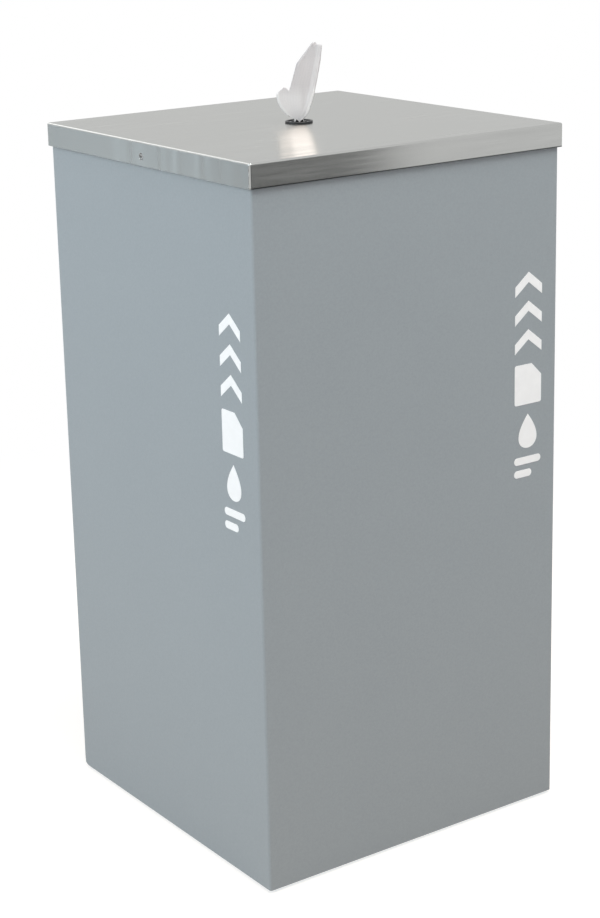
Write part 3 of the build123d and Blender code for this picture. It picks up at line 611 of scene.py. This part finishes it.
def lobe_left(h):
    """The left fold of the two front layers, which makes the lobe."""
    return outline(
        h,
        [(PINCH_HEIGHT, -3.0), (2.7, -4.4), (5.2, -7.6), (8.5, -10.8), (13.2, -14.0), (17.4, -15.3),
         (20.4, -15.2), (25, -15.1)],
    )


def tip_height(share):
    """Height of the angled tip, from the left edge, share 0, to the right edge, share 1."""
    return np.interp(share, [0.0, 0.25, 0.55, 1.0], [54.6, 55.6, 54.2, 53.3])


def lobe_height(share):
    """Height at which the two front layers end, by their share of the width from the left."""
    return np.interp(share, [0.0, 0.23, NOTCH_SHARE, 1.0], [20.3, 25.2, NOTCH_HEIGHT, NOTCH_HEIGHT])


# %% The wipe: rows and columns
column = np.linspace(0, LAYERS, LAYERS * LAYER_COLUMNS + 1)
layer = np.minimum(column.astype(int), LAYERS - 1)
share = np.where(layer % 2 == 0, 1 - (column - layer), column - layer)  # 0 left, 1 right
front = layer >= LAYERS - 2
lobe = front & (share < NOTCH_SHARE)

notch = np.where(front, lobe_height(share), NOTCH_HEIGHT)
tip = np.where(lobe, notch, tip_height(share) - 0.16 * (LAYERS - 1 - layer))
strand_rows = np.linspace(-strand_depth, PINCH_HEIGHT, STRAND_ROWS)[:, None] + 0 * column
to_notch = np.linspace(0, 1, ROWS_TO_NOTCH + 1)[1:, None] ** 1.3
to_tip = np.linspace(0, 1, ROWS_TO_TIP + 1)[1:, None]
height = np.concatenate(
    [
        strand_rows,
        PINCH_HEIGHT + (notch - PINCH_HEIGHT) * to_notch,
        notch + (tip - notch) * to_tip,
    ]
)
first_row_past_notch = STRAND_ROWS + ROWS_TO_NOTCH
past_notch = np.arange(len(height))[:, None] >= first_row_past_notch
print(height.shape[0], "rows,", height.shape[1], "columns")

# %% [markdown]
# In the strand the layers fill a circle. Above it each layer runs between its own left and right fold.
# Along the right edge the stack is turned a little forwards, over a soft step, as a lighter strip.
# At a fold the cloth turns over a small radius: the depth steps from one layer to the next over the
# last tenth of the width, while the way across slows down like a cosine.

# %% The wipe: across and depth
STRAND_RADIUS = 3.2
STRAND_GAP = 0.42
TAIL_GAP = 0.34
CRIMP = 1.1
CRIMP_WAVES = 4
STRIP_WIDTH = 4.0
STRIP_STEP = 0.5
RIDGE = 0.35

opened = np.clip((height - PINCH_HEIGHT) / 7.0, 0, 1)
opened = opened * opened * (3 - 2 * opened)  # 0 in the strand, 1 where the layers lie flat

left = np.where(front & ~past_notch, lobe_left(height), spear_left(height) + 0.3 * (layer % 2))
right = right_edge(height) - 0.2 * (layer % 2)
past_share = np.clip((share - NOTCH_SHARE) / (1 - NOTCH_SHARE), 0, 1)
tail_share = np.where(front & past_notch, past_share, share + 0 * height)
turned = 0.5 - 0.5 * np.cos(np.pi * tail_share)
tail_across = left + (right - left) * (0.7 * tail_share + 0.3 * turned)

into_next = np.clip((column - layer - 0.9) / 0.1, 0, 1)
out_of_last = np.clip((layer + 0.1 - column) / 0.1, 0, 1)
fold_step = into_next - out_of_last
layer_place = layer - LAYERS / 2 + 0.5 + 0.5 * fold_step  # flat within a layer, stepping at folds
strand_depths = STRAND_GAP * (column - LAYERS / 2)
half_width = np.sqrt(np.maximum(STRAND_RADIUS**2 - (1.2 * strand_depths) ** 2, 1.2))
strand_across = half_width * (2 * share - 1)
across_mm = strand_across + (tail_across - strand_across) * np.clip(
    (height - PINCH_HEIGHT) / 3.0, 0, 1
)

crimp_wave = np.sin(2 * np.pi * CRIMP_WAVES * share + 0.05 * height)
crimp_fade = np.clip((PINCH_HEIGHT + 1 - height) / 5, 0, 1)
crimp = CRIMP * crimp_fade * crimp_wave * (1 - (2 * share - 1) ** 4)
ridge = RIDGE * opened * np.exp(-(((tail_across - 0.8) / 3.0) ** 2))
ripple = 0.08 * opened * np.sin(0.55 * tail_across + 0.21 * height + 0.8 * layer)
strip = np.clip((tail_across - right_edge(height) + STRIP_WIDTH) / 1.0, 0, 1)
strip_step = STRIP_STEP * opened * strip * strip * (3 - 2 * strip)
up_tail = np.clip(height / 55, 0, 1)
lean = np.sin(np.pi * up_tail) - 1.4 * up_tail**2  # forwards in the middle, back at the tip
depth_mm = strand_depths * (1 - opened) + TAIL_GAP * layer_place * opened
depth_mm = depth_mm + crimp + ridge + ripple + strip_step + lean * opened

# %% [markdown]
# The strand twists a little on its way down, as a pulled strand does, and the tail's broad side faces
# the corner between the left and the front wall. The sheet's own length and width go into the UV map.
# The rows past the notch are left out where the lobe has ended.

# %% The wipe: place it
STRAND_TWIST = math.radians(140)
twist = np.clip(-height / strand_depth, 0, 1) * STRAND_TWIST + TAIL_YAW
x = across_mm * np.cos(twist) + depth_mm * np.sin(twist)
y = across_mm * np.sin(twist) - depth_mm * np.cos(twist)
wipe_points = np.stack([x * MM, y * MM, lid_top + height * MM], axis=-1)
wipe_uv = np.stack(
    [WIPE_WIDTH * column / LAYERS + 0 * height, lid_top + height * MM - strand_low.z], axis=-1
)
lobe_quads = (lobe[:-1] & lobe[1:])[None, :]
gone = (np.arange(len(height) - 1)[:, None] >= first_row_past_notch - 1) & lobe_quads

# Painted light and shade: lighter low down, where the lid throws light up, along the fold edges as
# highlights, and on the right strip near the tip; darker at the tip and in one crease low down, as shade
near_fold = np.minimum(across_mm - lobe_left(height), right_edge(height) - across_mm)
low_down = np.clip((26 - height) / 8, 0, 1)
painted_fold_highlight = np.clip(1.7 - near_fold / 1.2, 0, 1) * low_down
painted_strip_light = np.clip((across_mm - right_edge(height) + STRIP_WIDTH) / 0.8, 0, 1)
painted_strip_light = painted_strip_light * (0.3 - 0.35 * low_down)
painted_crease_shade = 0.3 * low_down * np.exp(-(((across_mm - 3.4) / 1.4) ** 2))
wipe_painted_light = 0.08 + 0.5 * low_down + painted_strip_light + painted_fold_highlight - painted_crease_shade
wipe = piece(
    "wipe_sheet", [wipe_points], cloth, "wipe",
    keep=~gone.reshape(-1), uv=wipe_uv,
)
store(wipe, "painted_light", wipe_painted_light)
thicken(wipe, CLOTH_MM * MM)
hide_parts("wipe")

# %% [markdown]
# ## The roll
#
# The roll stands in the pail: one long perforated sheet wound on nothing, since the wipes are drawn from
# its middle. Its wall is one profile turned about the axis, from the outer wrap over the top and down
# the core. On the end faces the edge of the sheet shows as a spiral, so the height there is a cosine of
# the radius that moves on by one wrap with each turn. A wrap is 0.4 mm thick and drawn as 1.6 mm.

# %% The roll
WRAP_MM = 1.6
CORE_RADIUS_MM = 22.0
ROLL_EDGE_MM = 2.0
DENT_MM = 0.12
roll_low, roll_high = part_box("wipes_roll")
roll_radius = roll_high.x
core_radius = CORE_RADIUS_MM * MM
turn = np.linspace(0, 2 * np.pi, 240, endpoint=False)[None, :]
corner = ROLL_EDGE_MM * MM


def end_face(z, outwards, radii):
    """An end face: a spiral of sheet edges, as a cosine of the radius and the turn."""
    wraps = radii[:, None] / (WRAP_MM * MM) - turn / (2 * np.pi)
    rise = 0.22 * MM * np.cos(2 * np.pi * wraps) - 0.25 * MM
    return radii[:, None] + 0 * turn, z + outwards * rise


def side_wall(radius, heights, wave):
    """A side wall with the soft dents of a wound stack, wave mm deep; below 0 they stand outwards."""
    dent = wave * MM * (np.sin(3 * turn + heights[:, None] * 60) + 0.6 * np.sin(7 * turn + 1.0))
    return radius - wave * 1.6 * MM + dent, heights[:, None] + 0 * turn


face_radii = np.linspace(core_radius + 0.4 * MM, roll_radius - corner / 2, 220)
side_heights = np.linspace(roll_low.z + corner / 2, roll_high.z - corner / 2, 40)
rings = [
    side_wall(core_radius, side_heights, -DENT_MM),
    end_face(roll_high.z, 1, face_radii),
    side_wall(roll_radius, side_heights[::-1], DENT_MM),
    end_face(roll_low.z, -1, face_radii[::-1]),
]
radius = np.concatenate([ring[0] for ring in rings] + [rings[0][0][:1]])
level = np.concatenate([ring[1] for ring in rings] + [rings[0][1][:1]])
roll_points = np.stack([radius * np.cos(turn), radius * np.sin(turn), level], axis=-1)
roll_uv = np.stack([turn * radius, level + radius], axis=-1)
roll = piece(
    "wound_roll", [roll_points[:, ::-1]], cloth, "roll",
    uv=roll_uv[:, ::-1], wrap=True,
)
# The roll takes the middle of the two cloth colours, with no painted light or shade on it
store(roll, "painted_light", np.full(len(roll.data.vertices), 0.5))
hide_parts("wipes_roll")

# %% [markdown]
# ## White film
#
# Two walls carry cut vinyl film, white and satin, near their right-hand edge. The design here is plain:
# three chevrons that point up, the way the wipe is pulled, a sheet with a folded corner, a drop, and
# two bars. Film is a tenth of a millimetre thick, so each shape is a flat grid with a little thickness
# that stands just off the paint.

# %% White film: finish
film, tree, shader = finish("cut_vinyl_film", Roughness=0.42, IOR=1.5)
place = add(tree, "TexCoord").outputs["Object"]
ripple = noise(tree, place, 6.0, detail=2.0)
tree.links.new(
    ramp_between(tree, ripple, 0.3, 0.7, "f9f9f8", "fdfdfc"), shader.inputs["Base Color"]
)
bump(tree, shader, ripple, 0.02, 0.2)

# %% White film: flat shapes as grids
# Every shape but the chevron lies between a left and a right outline, both functions of the height.


def between(low, height, left_outline, right_outline, corner_rows=33):
    """A grid from the left to the right outline; rows crowd towards both ends, where corners round."""
    up = height * (0.5 - 0.5 * np.cos(np.pi * np.linspace(0, 1, corner_rows)[:, None]))
    run = np.linspace(0, 1, 9)[None, :]
    return left_outline(up) * (1 - run) + right_outline(up) * run, low + up + 0 * run


def rounding(up, height, corner):
    """How far an outline steps in at a rounded corner."""
    near_end = np.clip(corner - np.minimum(up, height - up), 0, corner)
    return corner - np.sqrt(corner**2 - near_end**2)


def bar(middle, low, width, height, corner):
    """A bar with rounded corners."""
    return between(
        low, height,
        lambda up: middle - width / 2 + rounding(up, height, corner),
        lambda up: middle + width / 2 - rounding(up, height, corner),
    )


def chevron(middle, low, width, rise, thickness):
    """A band of that thickness along a V turned over: a point runs along it, then across it."""
    run = np.linspace(-1, 1, 25)[None, :]
    level = np.linspace(0, thickness, 3)[:, None]
    return middle + width / 2 * run + 0 * level, low + rise * (1 - np.abs(run)) + level


def cut_sheet(middle, low, width, height, fold):
    """A sheet with one corner folded away: its right outline leans in above the fold."""
    return between(
        low, height,
        lambda up: middle - width / 2 + rounding(up, height, 1.5),
        lambda up: middle + width / 2 - rounding(up, 2 * height, 1.5)
        - np.clip(up - height + fold, 0, fold),
    )


def drop(middle, low, width, height):
    """A drop: a circle's sine, narrowed towards the top so that it ends in a point."""
    def half(up):
        turn = np.arccos(np.clip(1 - 2 * up / height, -1, 1))
        return width / 2 * np.sin(turn) * np.cos(turn / 2) ** 1.1 * 1.3
    return between(low, height, lambda up: middle - half(up), lambda up: middle + half(up))


# %% White film: the design
DESIGN_LOW = 250.2  # mm above the walls' bottom edge
DESIGN_WIDTH = 24.4


def design(middle):
    """The white shapes of one wall, from the bottom up, with their middle line at middle, in mm."""
    left_side = middle - DESIGN_WIDTH / 2
    shapes = [
        bar(left_side + 8.0, DESIGN_LOW, 16.0, 5.4, 2.6),
        bar(middle, DESIGN_LOW + 9.4, DESIGN_WIDTH, 5.4, 2.6),
        drop(middle, DESIGN_LOW + 21.0, 17.0, 25.0),
        cut_sheet(middle, DESIGN_LOW + 53.0, DESIGN_WIDTH, 29.0, 9.0),
    ]
    shapes += [
        chevron(middle, DESIGN_LOW + 90.0 + 20.3 * k, DESIGN_WIDTH, 9.6, 7.2) for k in range(3)
    ]
    return shapes


print(len(design(0)), "shapes on each wall")

# %% White film: on the walls
FILM_MM = 0.1
FILM_OFF_MM = 0.03
film_at = body_half + FILM_OFF_MM * MM
walls = {
    "film_front": (lambda a, z: np.stack([a, 0 * a - film_at, z], -1), 101.1),
    "film_left": (lambda a, z: np.stack([0 * a - film_at, -a, z], -1), 97.6),
}
for name, (to_wall, middle_line) in walls.items():
    grids = [to_wall(a * MM, wall_bottom + z * MM) for a, z in design(middle_line)]
    decal = piece(name, grids, film, "cabinet")
    decal.data.shade_flat()
    thicken(decal, FILM_MM * MM, offset=1.0)

# %% [markdown]
# ## Floor and surround
#
# The floor is a plain pale sweep. Close to the dispenser it is matt paper that takes the shadow. Further
# out it turns into plain white, so that it ends nowhere. The camera, and the metal's reflections, see
# it as white; the light that it throws back at the dispenser stays that of pale paper.

# %% Floor and surround


def seen_directly(tree):
    """1 for the rays that see a surface: from the camera, off a gloss or through something clear."""
    rays = add(tree, "LightPath").outputs
    seen = add(
        tree, "Math", links={0: rays["Is Camera Ray"], 1: rays["Is Glossy Ray"]}, operation="MAXIMUM"
    ).outputs[0]
    return add(
        tree, "Math", links={0: seen, 1: rays["Is Transmission Ray"]}, operation="MAXIMUM"
    ).outputs[0]


FLOOR_HALF = 4.0
FLOOR_LIFT = 0.74  # how strongly the paper near the dispenser glows to the rays that see it
AMBIENT = 0.63
WHITE_FROM, WHITE_PAST = 0.35, 0.95  # the paper turns white over this way from the middle
corner_points = np.array([[[-1, -1, 0], [1, -1, 0]], [[-1, 1, 0], [1, 1, 0]]]) * FLOOR_HALF
floor_mesh = bpy.data.meshes.new("floor")
floor_mesh.from_pydata(corner_points.reshape(-1, 3).tolist(), [], [[0, 1, 3, 2]])
floor = bpy.data.objects.new("floor", floor_mesh)
bpy.context.scene.collection.objects.link(floor)

paper = bpy.data.materials.new("pale_paper_sweep")
paper.use_nodes = True
tree = paper.node_tree
tree.nodes.remove(tree.nodes["Principled BSDF"])
place = add(tree, "TexCoord").outputs["Object"]
away = add(tree, "VectorMath", links={0: place}, operation="LENGTH").outputs["Value"]
far = add(
    tree,
    "MapRange",
    {"From Min": WHITE_FROM, "From Max": WHITE_PAST},
    {"Value": away},
    interpolation_type="SMOOTHSTEP",
).outputs["Result"]
seen = seen_directly(tree)
matt = add(tree, "BsdfDiffuse", {"Color": linear("b2b2b0")})
near_matt = add(tree, "BsdfDiffuse", {"Color": linear("a99e93")})
lift = add(tree, "Math", {1: FLOOR_LIFT}, {0: seen}, operation="MULTIPLY").outputs[0]
glow = add(tree, "Emission", {"Color": linear("f9fdff")}, {"Strength": lift})
near_look = add(tree, "AddShader", links={0: near_matt.outputs[0], 1: glow.outputs[0]})
white = add(tree, "Emission", {"Color": linear("ffffff")}, {"Strength": seen})
far_look = add(
    tree, "MixShader", links={0: seen, 1: matt.outputs[0], 2: white.outputs[0]}
)
whole = add(
    tree, "MixShader", links={0: far, 1: near_look.outputs[0], 2: far_look.outputs[0]}
)
tree.links.new(whole.outputs[0], tree.nodes["Material Output"].inputs["Surface"])
floor_mesh.materials.append(paper)

world = bpy.data.worlds.new("white_surround")
bpy.context.scene.world = world
world.use_nodes = True
tree = world.node_tree
seen = seen_directly(tree)
surround = add(tree, "Background", {"Color": linear("ffffff"), "Strength": 1.0})
ambient = add(tree, "Background", {"Color": linear("fbf8fd"), "Strength": AMBIENT})
mixed = add(
    tree, "MixShader", links={0: seen, 1: ambient.outputs[0], 2: surround.outputs[0]}
)
tree.links.new(mixed.outputs[0], tree.nodes["World Output"].inputs["Surface"])

# %% [markdown]
# ## Lamps
#
# Soft boxes at a plain level: a slightly cool key on the left, a fill high above the front, whose light
# falls steeply enough for the lid to shade the walls' top, and a lamp behind that draws the bright
# line along the lid's left fold.

# %% Lamps


def soft_box(name, place, target, width, height, watts, colour):
    """A rectangular area lamp at place that faces target."""
    data = bpy.data.lights.new(name, "AREA")
    data.shape = "RECTANGLE"
    data.size, data.size_y = width, height
    data.energy = watts
    data.color = linear(colour)[:3]
    lamp = bpy.data.objects.new(name, data)
    bpy.context.scene.collection.objects.link(lamp)
    back = np.array(place, float) - np.array(target, float)
    back /= np.linalg.norm(back)
    side = np.cross([0, 0, 1], back) if abs(back[2]) < 0.99 else np.array([1.0, 0, 0])
    side /= np.linalg.norm(side)
    matrix = np.eye(4)
    matrix[:3, :3] = np.column_stack([side, np.cross(back, side), back])
    matrix[:3, 3] = place
    lamp.matrix_world = Matrix(matrix.tolist())
    return lamp


target = (0, 0, 0.3)
soft_box("key", (-1.9, 0.3, 1.2), target, 1.6, 1.6, 24, "e6f7ff")
soft_box("fill", (0.2, -1.0, 2.6), target, 1.4, 1.4, 50, "fafffd")
soft_box("back", (-0.2, 2.4, 1.8), target, 1.4, 0.9, 8, "ffffff")

# %% [markdown]
# Photographers shape the reflections in bright metal with cards, which only reflections see here. A
# dark card stands in front, where the left part of the lid's front skirt mirrors it. A pale blue card on
# the left tones the left skirt, which is lighter in its middle than at its ends. Both end just below
# the lid's top, so the top mirrors neither. Each card is a grid that keeps a tone at its points, and
# the tone sets how strongly it gives off its colour.

# %% Cards


def reflection_card(name, grid, colour, tone):
    """A card on a point grid, in metres, with a tone per point. Only glossy rays see it."""
    mesh = bpy.data.meshes.new(name)
    mesh.from_pydata(grid.reshape(-1, 3).tolist(), [], grid_faces(*grid.shape[:2], 0).tolist())
    card = bpy.data.objects.new(name, mesh)
    bpy.context.scene.collection.objects.link(card)
    card.visible_camera = card.visible_diffuse = False
    card.visible_shadow = card.visible_transmission = False
    layer = mesh.attributes.new("tone", "FLOAT", "POINT")
    layer.data.foreach_set("value", (tone + 0 * grid[..., 0]).astype(np.float32).ravel())
    paint = bpy.data.materials.new(name)
    paint.use_nodes = True
    tree = paint.node_tree
    tree.nodes.remove(tree.nodes["Principled BSDF"])
    strength = add(tree, "Attribute", attribute_name="tone").outputs["Fac"]
    glow = add(tree, "Emission", {"Color": linear(colour)}, {"Strength": strength})
    tree.links.new(glow.outputs[0], tree.nodes["Material Output"].inputs["Surface"])
    mesh.materials.append(paint)
    points = grid.reshape(-1, 3)
    print(name, "from", points.min(0).round(3), "to", points.max(0).round(3))


def upright(along_low, along_high, low, high, to_place, columns=2):
    """A standing rectangle: to_place turns the way along it and the height into points."""
    along = np.linspace(along_low, along_high, columns)[None, :] + np.zeros((2, 1))
    rise = np.array([[low], [high]]) + 0 * along
    return to_place(along, rise)


CARD_TOP = 0.5
DARK_CARD_Y = -0.62
LEFT_CARD_X = -1.25


def facing_front(along, rise):
    """Points of the dark card: the way along it is X."""
    return np.stack([along, 0 * along + DARK_CARD_Y, rise], axis=-1)


def facing_left(along, rise):
    """Points of the left card: the way along it is Y."""
    return np.stack([0 * along + LEFT_CARD_X, along, rise], axis=-1)


reflection_card("dark_card", upright(-0.2, 0.356, 0.17, CARD_TOP, facing_front), "5b5c5c", 1.0)
left_grid = upright(0.6, 3.2, -0.1, CARD_TOP, facing_left, columns=40)
left_tone = np.interp(
    left_grid[..., 1],
    [1.2, 1.5, 1.65, 1.8, 1.95, 2.3],
    [0.0, 0.35, 2.6, 3.1, 0.95, 0.3],
)
reflection_card("left_card", left_grid, "ecf8ff", left_tone)

# %% [markdown]
# The lid mirrors the wipe, and a small lamp aimed at cloth from the front would make that mirror image
# bright. Here a warm white card, cut to the wipe's own outline, stands right in front of it instead. The
# brushing blurs its mirror image into the bright streak between the ring and the front edge.

# %% The wipe's mirror card
CARD_OFF_MM = 4.0
CARD_HEIGHT_MM = 46.0
card_height = np.linspace(PINCH_HEIGHT, CARD_HEIGHT_MM, 48)[:, None]
card_share = np.linspace(0, 1, 73)[None, :]
card_left = lobe_left(card_height) + np.interp(card_height, [5, 12, 20], [3.5, 3.0, 2.0])
card_right = right_edge(card_height) + 1.0
card_across = card_left + (card_right - card_left) * card_share
forwards = np.array([math.sin(TAIL_YAW), -math.cos(TAIL_YAW), 0.0]) * MM
sideways = np.array([math.cos(TAIL_YAW), math.sin(TAIL_YAW), 0.0]) * MM
card_grid = card_across[..., None] * sideways + CARD_OFF_MM * forwards
card_grid = card_grid + np.array([0, 0, 1.0]) * (lid_top + card_height[..., None] * MM)
brighter = np.interp(card_height, [2, 5, 9, 16, 25, 46], [-0.1, 0.3, 0.75, 1.15, 1.6, 2.0])
in_spear = np.clip((card_across - np.maximum(-5.8, spear_left(card_height))) / 1.5, 0, 1)
in_lobe = (1 - in_spear) * np.clip((33 - card_height) / 4, 0, 1)
soft_edge = np.clip((card_right - card_across) / 3, 0, 1)
card_tone = 1 + brighter * (in_spear + 0.75 * in_lobe) * soft_edge
reflection_card("mirror_card", card_grid, "fff6f0", card_tone)

# %% [markdown]
# ## Colour view
#
# The picture's colours are shown as they are, with no film look.

# %% Colour view
bpy.context.scene.view_settings.view_transform = "Standard"
